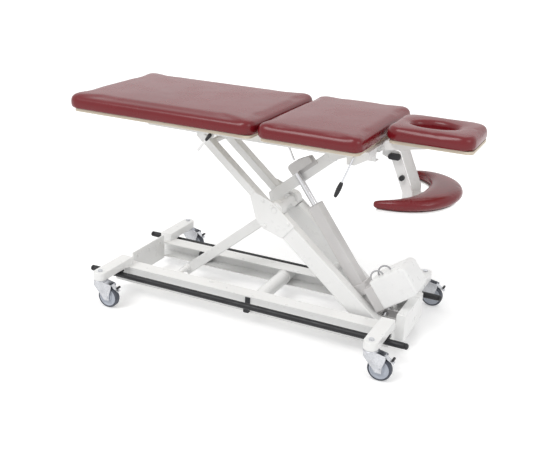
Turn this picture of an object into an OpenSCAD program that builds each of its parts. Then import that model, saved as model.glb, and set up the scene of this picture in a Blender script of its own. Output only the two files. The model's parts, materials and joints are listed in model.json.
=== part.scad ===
// Height-adjustable treatment table on a scissor lift, three sections, face hole and arm rest.
// X runs along the table to the head end, Y across it, Z up from the floor.

/* [Cushions] */
// Height of the cushion tops above the floor
top_h = 957; // [930:1:980]
// Width of the leg and middle cushions
cushion_w = 686; // [640:1:740]
// Thickness of every flat cushion, crown included
cushion_t = 60; // [50:1:70]
// Rise of the crown over the cushion's edge
crown = 5; // [2:1:8]
// Radius of the cushions' corners seen from above
corner_r = 42; // [25:1:60]
// Length of the leg cushion
leg_len = 908; // [860:1:960]
// Length of the middle cushion
mid_len = 455; // [430:1:480]
// Gap between the leg and the middle cushion
section_gap = 10; // [8:1:14]
// Length of the head cushion
head_len = 370; // [340:1:400]
// Width of the head cushion
head_w = 297; // [270:1:330]
// Gap between the middle and the head cushion
head_gap = 21; // [18:1:30]
// Height of the head cushion's underside over the middle cushion's underside
head_raise = 20; // [17:1:26]
// Length of the face hole
hole_len = 186; // [160:1:200]
// Width of the face hole
hole_w = 128; // [100:1:140]
// Thickness of the boards under the cushions
board_t = 12; // [9:1:15]

/* [Arm rest] */
// Height of the arm rest's underside above the floor
rest_z = 665; // [650:1:680]
// Thickness of the arm rest cushion
rest_t = 50; // [42:1:56]
// Half width of the arm rest from the table's middle to a tip's centre
rest_half = 238; // [220:1:250]
// Half width of the crescent at its middle
rest_pad = 74; // [60:1:80]
// Half width of the crescent at its tips
rest_tip = 24; // [18:1:28]

/* [Lift] */
// Height of the lower arm pivots above the floor
base_pivot_z = 88; // [86:1:90]
// Drop from the cushion tops to the upper arm pivots
top_pivot_drop = 102; // [100:1:104]
// Length of each arm from its lower pivot to the centre pivot
arm_low = 667.7; // [660:0.1:674]
// Length of each arm from the centre pivot to its upper pivot
arm_up = 520.5; // [514:0.1:526]
// Distance of the fixed lower pivot from the table's middle
base_pivot_x = 546; // [544:1:548]
// Depth of the lower part of the outer arms
deep_h = 80; // [72:1:84]
// Height of the upper tubes of the outer arms
upper_h = 36; // [32:1:40]
// Height of the lower tube of the inner arm
low_h = 48; // [44:1:52]
// Height of the upper tube of the inner arm
high_h = 51; // [46:1:54]
// Distance from the middle plane to the inside of the outer arms
arm_in = 62; // [62:1:64]
// Thickness across the table of the outer arms
arm_w = 48; // [42:1:48]
// Thickness across the table of the inner arm
inner_w = 50; // [40:1:52]

/* [Base] */
// Distance from the middle plane to the rails' inner edges
rail_in = 138; // [136:1:142]
// Distance from the middle plane to the rails' outer faces
rail_out = 214; // [210:1:218]
// Height of the rails' undersides above the floor
rail_z = 52; // [51:1:53]
// Height of the rails
rail_h = 77; // [76:1:80]
// Wall of the rails
rail_t = 4; // [3:0.5:5]
// Length of a rail
rail_len = 1376; // [1366:1:1386]
// Diameter of the rails' cross tube
cross_d = 66; // [60:1:67]
// Thickness along the table of the box at the head end
head_box_t = 40; // [36:1:46]
// Width of an outrigger tube
outrigger_w = 62.5; // [56:0.5:66]
// Height of an outrigger tube
outrigger_h = 38; // [34:1:42]
// Distance from the middle plane to a caster's swivel axis
swivel_y = 389; // [384:1:396]
// Distance between the two outriggers of one side
wheelbase = 1317.4; // [1300:0.1:1326]

/* [Activation bars] */
// Diameter of an activation bar
bar_d = 28; // [24:1:30]
// Distance from the middle plane to an activation bar's axis
bar_y = 261; // [258:1:264]
// Height of the activation bars' axes above the floor
bar_z = 105; // [101:1:108]
// Length of an activation bar
bar_len = 1540; // [1500:1:1560]

/* [Casters] */
// Diameter of a caster wheel
wheel_d = 102; // [96:1:102]
// Width of a caster's tyre
wheel_w = 32; // [28:1:34]
// Distance from the swivel axis to the wheel's axle
trail = 45; // [40:1:46]

/* [Actuator] */
// Height of the actuator's lower pin above the floor
drive_z = 101; // [99:1:103]
// Distance of the actuator's lower pin from the table's middle
drive_x = 511; // [509:1:513]
// Diameter of the push rod
rod_d = 28; // [24:1:28]
// Side of the square actuator tube
tube_w = 56; // [52:1:56]
// Distance of the push rod's upper pin along the inner arm from the centre pivot
rod_pin_u = 147.4; // [145:0.1:149]
// Distance of the push rod's upper pin over the inner arm's pivot line
rod_pin_v = 112.4; // [111:0.1:114]

/* [Hidden] */

// One overrun serves every cut, one clearance every running fit, one gap every moving face
over = 1;
fit = 0.05;
seat = 0.3;

// Heights
pad_z = top_h - cushion_t;
board_z = pad_z - seat - board_t;
top_pivot_z = top_h - top_pivot_drop;
head_pad_z = pad_z + head_raise;
head_board_z = head_pad_z - seat - board_t;

// Lift geometry
lift = asin((top_pivot_z - base_pivot_z) / (arm_low + arm_up));
centre_x = base_pivot_x - arm_low * cos(lift);
centre_z = base_pivot_z + arm_low * sin(lift);
roller_x = centre_x - arm_low * cos(lift);
track_x = centre_x - arm_up * cos(lift);
top_pivot_x = centre_x + arm_up * cos(lift);

// Places along the table: the sections hang on the upper pivot, and grow towards the foot end
mid_over = 57.4237;
mid_x1 = top_pivot_x + mid_over;
mid_x0 = mid_x1 - mid_len;
leg_x1 = mid_x0 - section_gap;
leg_x0 = leg_x1 - leg_len;
head_x0 = mid_x1 + head_gap;
head_x1 = head_x0 + head_len;
hinge_x = leg_x1 + section_gap / 2;

// Shafts and the inner arm's tubes
shaft_d = 25;
pin_d = 20;
deep_top = 14;
upper_mid = -26;
low_mid = -8;
high_mid = 58;
inner_y0 = 6;
inner_y1 = inner_y0 + inner_w;
arm_out = arm_in + arm_w;
arm_plate_t = 6;
base_roller_r = base_pivot_z - rail_z - rail_t - seat;
frame_h = 60;
frame_t = 4;
frame_z = board_z - frame_h;
frame_in = 112;
frame_out = 150;
top_roller_r = (frame_h - 2 * frame_t) / 2 - seat;

// Actuator geometry
rod_y = -14;
rod_pin_x = centre_x + rod_pin_u * cos(lift) - rod_pin_v * sin(lift);
rod_pin_z = centre_z + rod_pin_u * sin(lift) + rod_pin_v * cos(lift);
drive_len = norm([rod_pin_x - drive_x, rod_pin_z - drive_z]);
drive_angle = atan2(rod_pin_z - drive_z, drive_x - rod_pin_x);
bore_d = rod_d + 8;
tube_s0 = 112;
tube_s1 = 550;
drive_pin_d = 16;

// Base places
rail_lip = 8.75;
swivel_x0 = -704;
rail_x0 = swivel_x0 - outrigger_w / 2 - rail_lip;
rail_x1 = rail_x0 + rail_len;
rail_top = rail_z + rail_h;
swivel_x1 = swivel_x0 + wheelbase;
end_plate_t = 4;
stem_d = 14;
fork_t = 3;
axle_d = 10;
bar_x0 = -829;
bar_arm_x = [-694, 641];
bar_arm_t = 8;
bar_pin_y = 226;
bar_pin_z = 118;
bar_pin_d = 10;

// A flat outline drawn in X and Z, given its thickness across the table from y0 to y1
module across(y0, y1) {
    translate([0, y1, 0]) rotate([90, 0, 0]) linear_extrude(height = y1 - y0) children();
}

// A round bar along Y
module bar_across(d, y0, y1) {
    translate([0, y1, 0]) rotate([90, 0, 0]) cylinder(d = d, h = y1 - y0, $fn = 48);
}

// A round bar along X
module bar_along(d, x0, x1) {
    translate([x0, 0, 0]) rotate([0, 90, 0]) cylinder(d = d, h = x1 - x0, $fn = 48);
}

// A rectangle with round corners, centred
module soft_rect(w, h, r) {
    for (sx = [-1, 1], sy = [-1, 1])
        translate([sx * (w / 2 - r), sy * (h / 2 - r)]) circle(r = r, $fn = 32);
    square([w - 2 * r, h], center = true);
    square([w, h - 2 * r], center = true);
}

// A flat strap between two points, with round ends that are a little wider than it is
strap_share = 0.97;
module strap(p, q, r) {
    a = atan2(q[1] - p[1], q[0] - p[0]);
    translate(p) circle(r = r, $fn = 48);
    translate(q) circle(r = r, $fn = 48);
    translate(p) rotate(a) translate([0, -r * strap_share]) square([norm(q - p), 2 * r * strap_share]);
}

// Frames that turn with the two arms and with the actuator
module outer_place() { translate([base_pivot_x, 0, base_pivot_z]) rotate([0, lift, 0]) children(); }
module inner_place() { translate([centre_x, 0, centre_z]) rotate([0, -lift, 0]) children(); }
module drive_place() {
    translate([drive_x, rod_y, drive_z]) rotate([0, drive_angle - 90, 0]) children();
}

// Base rails: channels open towards the middle, with the lugs that carry an activation bar
module rail(side) {
    color("whitesmoke") {
        for (z = [rail_z, rail_top - rail_t])
            translate([rail_x0, side > 0 ? rail_in : -rail_out, z])
                cube([rail_len, rail_out - rail_in, rail_t]);
        translate([rail_x0, side > 0 ? rail_out - rail_t : -rail_out, rail_z])
            cube([rail_len, rail_t, rail_h]);
        for (x = bar_arm_x) bar_lug(side, x);
    }
}
lug_t = 6;
lug_h = 20;
module bar_lug(side, x) {
    lug_w = bar_pin_y + lug_h / 2 - rail_out;
    difference() {
        translate([x - bar_arm_t / 2 - seat - lug_t, side > 0 ? rail_out : -rail_out - lug_w,
            bar_pin_z - lug_h / 2]) cube([lug_t, lug_w, lug_h]);
        translate([x - bar_arm_t, side * bar_pin_y, bar_pin_z])
            bar_along(bar_pin_d / 2, -over * lug_h, 0);
    }
    translate([0, side * bar_pin_y, bar_pin_z])
        bar_along(bar_pin_d, x - bar_arm_t / 2 - seat - lug_t, x + bar_arm_t / 2 + lug_t);
}
module rail_near() { rail(-1); }
module rail_far() { rail(1); }

cross_x = -15;
module base_cross_tube() {
    inside = rail_out - rail_t;
    color("whitesmoke") translate([cross_x, 0, rail_z + rail_h / 2]) difference() {
        bar_across(cross_d, -inside, inside);
        bar_across(cross_d - 2 * rail_t, -inside - over, inside + over);
    }
}

foot_plate_x = -700;
foot_plate_z0 = 45;
foot_plate_z1 = 170;
bolt_d = 14;
bolt_h = 6;
bolt_share = 0.72;
module foot_end_plate() {
    t = arm_plate_t;
    color("whitesmoke") {
        translate([foot_plate_x, -rail_in, foot_plate_z0])
            cube([t, 2 * rail_in, foot_plate_z1 - foot_plate_z0]);
        for (y = [-rail_in, 0, rail_in] * bolt_share)
            translate([0, y, foot_plate_z1 - 2 * bolt_d])
                bar_along(bolt_d, foot_plate_x + t, foot_plate_x + t + bolt_h);
    }
}

head_box_z0 = 50;
head_box_z1 = 173;
head_box_x = rail_x1 + end_plate_t;
head_box_wall = 4;
head_box_in = 3;
module head_end_box() {
    h = head_box_z1 - head_box_z0;
    w = 2 * (rail_in - head_box_in);
    color("whitesmoke") {
        translate([rail_x1, -rail_out, rail_z]) cube([end_plate_t, 2 * rail_out, rail_h]);
        difference() {
            translate([head_box_x, -w / 2, head_box_z0]) cube([head_box_t, w, h]);
            translate([head_box_x + head_box_wall, -w / 2 + head_box_wall, head_box_z0 - over])
                cube([head_box_t - 2 * head_box_wall, w - 2 * head_box_wall, h - head_box_wall + over]);
        }
        for (s = [-1, 1]) translate([head_box_x + head_box_t / 2, s * (w / 2 - bolt_d), head_box_z1])
            cylinder(d = bolt_d, h = bolt_h, $fn = 6);
    }
}

// Outriggers: flat tubes welded on the rails' tops, with round outer tips over the casters
outrigger_in = 171;
module outrigger(x, side) {
    translate([x, 0, rail_top]) linear_extrude(height = outrigger_h) difference() {
        union() {
            translate([0, side * swivel_y]) circle(d = outrigger_w, $fn = 64);
            translate([-outrigger_w / 2, side > 0 ? outrigger_in : -swivel_y])
                square([outrigger_w, swivel_y - outrigger_in]);
        }
        translate([0, side * swivel_y]) circle(r = stem_d / 2 + fit, $fn = 48);
    }
}
module outriggers(x) {
    color("white") for (side = [-1, 1]) outrigger(x, side);
}
module foot_outriggers() { outriggers(swivel_x0); }
module head_outriggers() { outriggers(swivel_x1); }

module base_pivot_shaft() {
    inside = rail_out - rail_t;
    color("silver") translate([base_pivot_x, 0, base_pivot_z]) bar_across(shaft_d, -inside, inside);
}

// Two cheeks that carry the actuator's lower pin, bolted to the end plate round the pivot shaft
mount_t = 5;
mount_r = 21;
mount_in = 32;
module actuator_mount() {
    color("gainsboro") {
        for (s = [-1, 1]) {
            y = rod_y + s * (mount_in + mount_t / 2);
            difference() {
                across(y - mount_t / 2, y + mount_t / 2) {
                    strap([drive_x, drive_z], [base_pivot_x, base_pivot_z], mount_r);
                    translate([base_pivot_x, base_pivot_z - mount_r])
                        square([rail_x1 - base_pivot_x, 2 * mount_r]);
                }
                translate([base_pivot_x, 0, base_pivot_z])
                    bar_across(shaft_d + 2 * fit, y - mount_t, y + mount_t);
            }
        }
        translate([drive_x, rod_y, drive_z])
            bar_across(drive_pin_d, -mount_in - mount_t, mount_in + mount_t);
    }
}

switch_x = -29;
switch_w = 24;
module switch_bracket() {
    color("dimgray") {
        translate([switch_x - switch_w / 2, -rail_out - rail_t, rail_z + rail_t])
            cube([switch_w, rail_t, rail_h - 2 * rail_t]);
        translate([switch_x - switch_w / 2, -bar_y + bar_d, rail_z + rail_t])
            cube([switch_w, bar_y - bar_d - rail_out - rail_t, switch_w]);
    }
}

// Activation bars: a long tube with rubber end caps and two arms hinged on the rail
module activation_bar(side) {
    cap = bar_d / 2;
    color("black") {
        translate([0, side * bar_y, bar_z]) {
            bar_along(bar_d, bar_x0, bar_x0 + bar_len);
            for (x = [bar_x0, bar_x0 + bar_len]) translate([x, 0, 0]) sphere(d = bar_d, $fn = 32);
        }
        for (x = bar_arm_x) difference() {
            translate([x - bar_arm_t / 2, 0, 0]) rotate([90, 0, 90]) linear_extrude(height = bar_arm_t)
                strap([side * bar_y, bar_z], [side * bar_pin_y, bar_pin_z], bar_pin_d);
            translate([0, side * bar_pin_y, bar_pin_z])
                bar_along(bar_pin_d + 2 * fit, x - bar_arm_t, x + bar_arm_t);
        }
    }
}
module activation_bar_near() { activation_bar(-1); }
module activation_bar_far() { activation_bar(1); }

// Casters: a fork with its swivel stem, a wheel disc, a tyre and a brake pedal each
wheel_r = wheel_d / 2;
fork_top = rail_top - seat;
fork_in = wheel_w / 2 + fork_t * 0.7;
fork_r = 30;
module caster_place(end, side) {
    translate([end > 0 ? swivel_x1 : swivel_x0, side * swivel_y, 0]) children();
}
module fork(end, side) {
    color("silver") caster_place(end, side) {
        leg_r = axle_d * 1.3;
        translate([0, 0, fork_top - 2 * fork_t]) cylinder(r = fork_r, h = 2 * fork_t, $fn = 64);
        translate([0, 0, fork_top - fork_t])
            cylinder(d = stem_d, h = fork_t + outrigger_h + 2 * seat, $fn = 48);
        translate([0, 0, rail_top + outrigger_h + seat]) cylinder(d = 1.7 * stem_d, h = bolt_h, $fn = 6);
        for (s = [-1, 1]) {
            y0 = s > 0 ? fork_in : -fork_in - fork_t;
            difference() {
                across(y0, y0 + fork_t) polygon([
                    [-fork_r * 0.8, fork_top - fork_t], [fork_r * 0.8, fork_top - fork_t],
                    [brake_x + ear_r, brake_z + ear_r], [brake_x + ear_r, brake_z - ear_r],
                    [trail + leg_r, wheel_r + leg_r], [trail + leg_r, wheel_r - leg_r],
                    [trail - leg_r, wheel_r - leg_r], [-fork_r * 0.8, fork_top - wheel_r * 0.55]]);
                translate([brake_x, 0, brake_z])
                    bar_across(brake_pin_d + 2 * fit, y0 - over, y0 + fork_t + over);
            }
        }
        translate([trail, 0, wheel_r]) {
            bar_across(axle_d, -fork_in - fork_t, fork_in + fork_t);
            for (s = [-1, 1]) bar_across(1.7 * axle_d,
                s > 0 ? fork_in + fork_t : -fork_in - fork_t - bolt_h / 2,
                s > 0 ? fork_in + fork_t + bolt_h / 2 : -fork_in - fork_t);
        }
    }
}
tyre_t = 9;
module wheel(end, side) {
    disc_r = wheel_r - tyre_t;
    color("lightsteelblue") caster_place(end, side) translate([trail, 0, wheel_r]) rotate([90, 0, 0])
        rotate_extrude($fn = 96)
            polygon([[axle_d / 2 + fit, -wheel_w / 2], [disc_r * 0.42, -wheel_w / 2],
                [disc_r * 0.5, -wheel_w * 0.3], [disc_r * 0.82, -wheel_w * 0.3],
                [disc_r * 0.9, -wheel_w * 0.42], [disc_r, -wheel_w * 0.42],
                [disc_r, wheel_w * 0.42], [disc_r * 0.9, wheel_w * 0.42],
                [disc_r * 0.82, wheel_w * 0.3], [disc_r * 0.5, wheel_w * 0.3],
                [disc_r * 0.42, wheel_w / 2], [axle_d / 2 + fit, wheel_w / 2]]);
}
module tyre(end, side) {
    disc_r = wheel_r - tyre_t;
    tread = wheel_w * 0.3;
    color("dimgray") caster_place(end, side) translate([trail, 0, wheel_r]) rotate([90, 0, 0])
        rotate_extrude($fn = 96)
            polygon([[disc_r, -wheel_w * 0.42], [disc_r + tyre_t * 0.4, -wheel_w / 2],
                [wheel_r - tyre_t * 0.3, -wheel_w * 0.44], [wheel_r, -tread], [wheel_r, tread],
                [wheel_r - tyre_t * 0.3, wheel_w * 0.44],
                [disc_r + tyre_t * 0.4, wheel_w / 2], [disc_r, wheel_w * 0.42]]);
}
brake_x = 62;
brake_over = 7;
brake_z = wheel_d + brake_over;
brake_tip = 103;
brake_rise = 39;
brake_w = 24;
brake_pin_d = 6;
ear_r = 8;
module brake(end, side) {
    color("silver") caster_place(end, side) {
        translate([brake_x, 0, brake_z]) bar_across(brake_pin_d, -fork_in - fork_t, fork_in + fork_t);
        across(-brake_w / 2, brake_w / 2) polygon([
            [brake_x - brake_pin_d, brake_z], [brake_x + ear_r / 2, brake_z + ear_r / 2],
            [brake_tip, wheel_r + brake_rise], [brake_tip, wheel_r + brake_rise - fork_t],
            [brake_x + 4 * ear_r, wheel_r + brake_rise + fork_t],
            [brake_x + ear_r, brake_z - brake_pin_d / 2]]);
    }
}
module fork_foot_near() { fork(-1, -1); }
module fork_foot_far() { fork(-1, 1); }
module fork_head_near() { fork(1, -1); }
module fork_head_far() { fork(1, 1); }
module wheel_foot_near() { wheel(-1, -1); }
module wheel_foot_far() { wheel(-1, 1); }
module wheel_head_near() { wheel(1, -1); }
module wheel_head_far() { wheel(1, 1); }
module tyre_foot_near() { tyre(-1, -1); }
module tyre_foot_far() { tyre(-1, 1); }
module tyre_head_near() { tyre(1, -1); }
module tyre_head_far() { tyre(1, 1); }
module brake_foot_near() { brake(-1, -1); }
module brake_foot_far() { brake(-1, 1); }
module brake_head_near() { brake(1, -1); }
module brake_head_far() { brake(1, 1); }

// Outer arms: a deep tube below the centre, a slimmer one above it and a bolted plate at the crossing
boss_r = 24;
outer_up_len = arm_low + arm_up;
deep_end = arm_low - deep_h / 2;
upper_start = arm_low - 0.75 * deep_h;
upper_end = outer_up_len - 1.4 * boss_r;
plate_back = arm_low + 5 * boss_r;
plate_front = arm_low - 4.7 * boss_r;
plate_bolts = [[66, -6], [19, 7], [-19, -84], [-86, 7]];
module outer_arm(side) {
    y0 = side > 0 ? arm_in : -arm_out;
    y1 = y0 + arm_w;
    out0 = side > 0 ? arm_out : -arm_out - arm_plate_t;
    color("white") outer_place() difference() {
        union() {
            across(y0, y1) {
                translate([-deep_end, deep_top - deep_h]) square([deep_end, deep_h]);
                strap([0, 0], [-deep_h, deep_top - deep_h / 2], boss_r);
                translate([-upper_end, upper_mid - upper_h / 2])
                    square([upper_end - upper_start, upper_h]);
                strap([-outer_up_len, 0], [-upper_end, upper_mid / 2], boss_r);
            }
            across(out0, out0 + arm_plate_t) polygon([
                [-plate_back, upper_mid - upper_h / 2], [-plate_back, upper_mid + upper_h / 2],
                [-arm_low - boss_r, boss_r], [-plate_front, boss_r], [-plate_front, deep_top - deep_h],
                [-arm_low + boss_r, -deep_h - boss_r], [-arm_low - boss_r, -deep_h - boss_r]]);
            across(y0, y1) translate([-arm_low, 0]) circle(r = boss_r + deep_top, $fn = 64);
            for (b = plate_bolts) translate([-arm_low - b[0], 0, b[1]])
                bar_across(bolt_d, side > 0 ? arm_out : -arm_out - arm_plate_t - bolt_h,
                    side > 0 ? arm_out + arm_plate_t + bolt_h : -arm_out);
            translate([-outer_up_len, 0, 0])
                bar_across(pin_d, side > 0 ? y0 : -arm_out - frame_out + frame_in + frame_t,
                    side > 0 ? arm_out + frame_out - frame_in - frame_t : y1);
        }
        bar_across(shaft_d + 2 * fit, y0 - over, y1 + over);
        translate([-arm_low, 0, 0])
            bar_across(shaft_d + 2 * fit, y0 - arm_plate_t - over, y1 + arm_plate_t + over);
        translate([-deep_end + boss_r + deep_top, 0, deep_top - deep_h + frame_t])
            across(y0 + frame_t, y1 - frame_t)
                square([deep_end - 4 * boss_r, deep_h - 2 * frame_t]);
    }
}
module outer_arm_near() { outer_arm(-1); }
module outer_arm_far() { outer_arm(1); }

low_cross_s = 300;
high_cross_s = 1090;
low_cross_d = 32;
high_cross_d = 28;
module outer_cross_tubes() {
    color("gainsboro") outer_place() {
        translate([-low_cross_s, 0, deep_top - deep_h + low_cross_d * 0.66])
            bar_across(low_cross_d, -arm_in, arm_in);
        translate([-high_cross_s, 0, upper_mid]) bar_across(high_cross_d, -arm_in, arm_in);
        translate([-arm_low, 0, 0]) bar_across(shaft_d, -arm_out - arm_plate_t, arm_out + arm_plate_t);
    }
}

// Rollers: a pair in the base rails and a pair in the frame's tracks
base_roller_w = 50;
module roller(r, d, y0, y1) {
    lip = (y1 - y0) / 8;
    difference() {
        union() {
            bar_across(2 * r, y0 + lip, y1 - lip);
            bar_across(2 * r * 0.7, y0, y1);
        }
        bar_across(d + 2 * fit, y0 - over, y1 + over);
    }
}
module base_rollers() {
    y0 = rail_out - rail_t - base_roller_w - 2 * seat;
    color("dimgray") translate([roller_x, 0, base_pivot_z]) for (s = [-1, 1])
        roller(base_roller_r, pin_d, s > 0 ? y0 : -y0 - base_roller_w, s > 0 ? y0 + base_roller_w : -y0);
}
module top_rollers() {
    y0 = arm_out + 2 * seat;
    y1 = frame_out - frame_t - 2 * seat;
    color("dimgray") translate([track_x, 0, top_pivot_z]) for (s = [-1, 1])
        roller(top_roller_r, pin_d, s > 0 ? y0 : -y1, s > 0 ? y1 : -y0);
}

// Inner arm: a lower and an upper tube that lie in offset lines, joined by plates round the hub
low_tail = 22;
high_end = arm_up - 4.8 * boss_r;
high_start = -45;
hub_d = 52;
lug_u = arm_up - 7.9 * boss_r;
module inner_arm() {
    y0 = inner_y0;
    y1 = inner_y1;
    color("white") inner_place() difference() {
        union() {
            across(y0, y1) {
                translate([-arm_low - low_tail, low_mid - low_h / 2]) square([arm_low + 2 * low_tail, low_h]);
                translate([high_start, high_mid - high_h / 2]) square([high_end - high_start, high_h]);
                polygon([[-hub_d * 1.5, low_mid + low_h / 2 - over], [high_start + over, high_mid + high_h / 2],
                    [hub_d / 4, high_mid - high_h / 2 + over], [hub_d / 2, low_mid - low_h / 2]]);
            }
            for (y = [y0 - arm_plate_t, y1])
                across(y, y + (y > y0 ? arm_in - y1 - 2 * seat : arm_plate_t)) {
                    strap([lug_u, high_mid], [arm_up, 0], boss_r);
                }
            across(y0, y1) strap([high_end - boss_r, high_mid - boss_r / 2], [arm_up, 0], boss_r * 0.9);
            bar_across(hub_d, -arm_in + 2 * seat, arm_in - 2 * seat);
            translate([-arm_low, 0, 0]) bar_across(pin_d, -rail_out + rail_t + seat, rail_out - rail_t - seat);
            translate([-arm_low, 0, 0]) bar_across(1.6 * pin_d, y0 - boss_r, y1 + boss_r);
        }
        bar_across(shaft_d + 2 * fit, -arm_in - over, arm_in + over);
        translate([arm_up, 0, 0]) bar_across(pin_d + 2 * fit, y0 - 2 * arm_plate_t, arm_in + over);
    }
}

// Clevis: two cheeks and a bridge on the inner arm's upper edge, with the push rod's pin
clevis_pin_d = 14;
cheek_t = 5;
cheek_gap = 1;
cheek_r = 18;
cheek_top = [33, 18];
cheek_back = 100;
cheek_foot = 16;
cheek_bridge = 46;
clevis_near = rod_y - rod_d / 2 - cheek_gap - cheek_t;
module clevis_cheek() {
    edge = high_mid + high_h / 2;
    polygon([[rod_pin_u - cheek_r, edge], [rod_pin_u - cheek_r, rod_pin_v], [rod_pin_u, rod_pin_v + cheek_r],
        [rod_pin_u + cheek_top[0], rod_pin_v + cheek_top[1]], [rod_pin_u + cheek_back, rod_pin_v],
        [rod_pin_u + cheek_back, edge]]);
    translate([rod_pin_u, rod_pin_v]) circle(r = cheek_r, $fn = 48);
}
module actuator_clevis() {
    edge = high_mid + high_h / 2;
    color("gainsboro") inner_place() {
        across(inner_y0 - cheek_t, inner_y0) {
            clevis_cheek();
            translate([rod_pin_u - cheek_r, edge - cheek_foot]) square([cheek_r + cheek_back, cheek_foot]);
        }
        across(clevis_near, clevis_near + cheek_t) clevis_cheek();
        across(clevis_near, inner_y0) intersection() {
            clevis_cheek();
            translate([rod_pin_u + cheek_bridge, edge]) square([cheek_t, 2 * boss_r]);
        }
        translate([rod_pin_u, 0, rod_pin_v]) bar_across(clevis_pin_d, clevis_near, inner_y0);
    }
}

// Actuator: gearbox with a collar, square tube, push rod with an eye, and the motor's cover
gear_w = 76;
gear_s1 = 108;
collar_w = 84;
collar_s1 = 152;
collar_in = 10;
collar_r = 8;
gear_in = 12;
gear_s0 = -8;
tube_r = 5;
module actuator_tube() {
    color("lightgray") drive_place() translate([0, 0, tube_s0]) difference() {
        linear_extrude(height = tube_s1 - tube_s0) soft_rect(tube_w, tube_w, tube_r);
        translate([0, 0, -over]) cylinder(d = bore_d, h = tube_s1 - tube_s0 + 2 * over, $fn = 64);
    }
}
module gearbox() {
    color("silver") drive_place() difference() {
        union() {
            translate([-gear_w / 2, -gear_w / 2 + gear_in, gear_s0])
                cube([gear_w, gear_w - 2 * gear_in, gear_s1]);
            bar_across(2 * mount_r, -gear_w / 2 + gear_in, gear_w / 2 - gear_in);
            translate([gear_w / 2 - over, shoulder_in - cover_w / 2, cover_z0])
                cube([cover_x0 - gear_w / 2 + over, cover_w - 2 * shoulder_in, shoulder_z1 - cover_z0]);
            translate([0, 0, gear_s1 + gear_s0 - over])
                linear_extrude(height = tube_s0 - gear_s1 - gear_s0 + over)
                soft_rect(collar_w, collar_w - collar_in, collar_r);
            translate([0, 0, tube_s0]) linear_extrude(height = collar_s1 - tube_s0) difference() {
                soft_rect(collar_w, collar_w - collar_in, collar_r);
                soft_rect(tube_w, tube_w, tube_r);
            }
        }
        bar_across(drive_pin_d + 2 * fit, -gear_w, gear_w);
    }
}
cover_x0 = 80;
cover_x1 = 256;
cover_z0 = 14;
cover_z1 = 150;
cover_w = 158;
shoulder_in = 5;
shoulder_z1 = 128;
cover_r = 26;
module motor_cover() {
    color("white") drive_place() across(-cover_w / 2, cover_w / 2) {
        translate([cover_x0, cover_z0]) square([cover_x1 - cover_x0 - cover_r, cover_z1 - cover_z0]);
        translate([cover_x0, cover_z0 + cover_r])
            square([cover_x1 - cover_x0, cover_z1 - cover_z0 - 2 * cover_r]);
        for (z = [cover_z0 + cover_r, cover_z1 - cover_r])
            translate([cover_x1 - cover_r, z]) circle(r = cover_r, $fn = 64);
    }
}

rod_tail = 210;
eye_w = 20;
eye_d = 36;
module piston_rod() {
    color("silver") drive_place() {
        translate([0, 0, rod_tail]) cylinder(d = rod_d, h = drive_len - rod_tail - clevis_pin_d, $fn = 64);
        difference() {
            translate([0, 0, drive_len]) bar_across(eye_d, -eye_w / 2, eye_w / 2);
            translate([0, 0, drive_len]) bar_across(clevis_pin_d + 2 * fit, -eye_w, eye_w);
        }
    }
}

// The motor's leads: two stiff loops that stand on the cover
lead_d = 8;
loop_r = 28;
loop_turn = 15;
loop_at = [[112, -44], [140, -12]];
module motor_cables() {
    color("gainsboro") drive_place() for (at = loop_at)
        translate([at[0], at[1], cover_z1]) rotate([90, 0, loop_turn])
            rotate_extrude(angle = 180, $fn = 64)
                translate([loop_r, 0]) circle(d = lead_d, $fn = 24);
}

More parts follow.
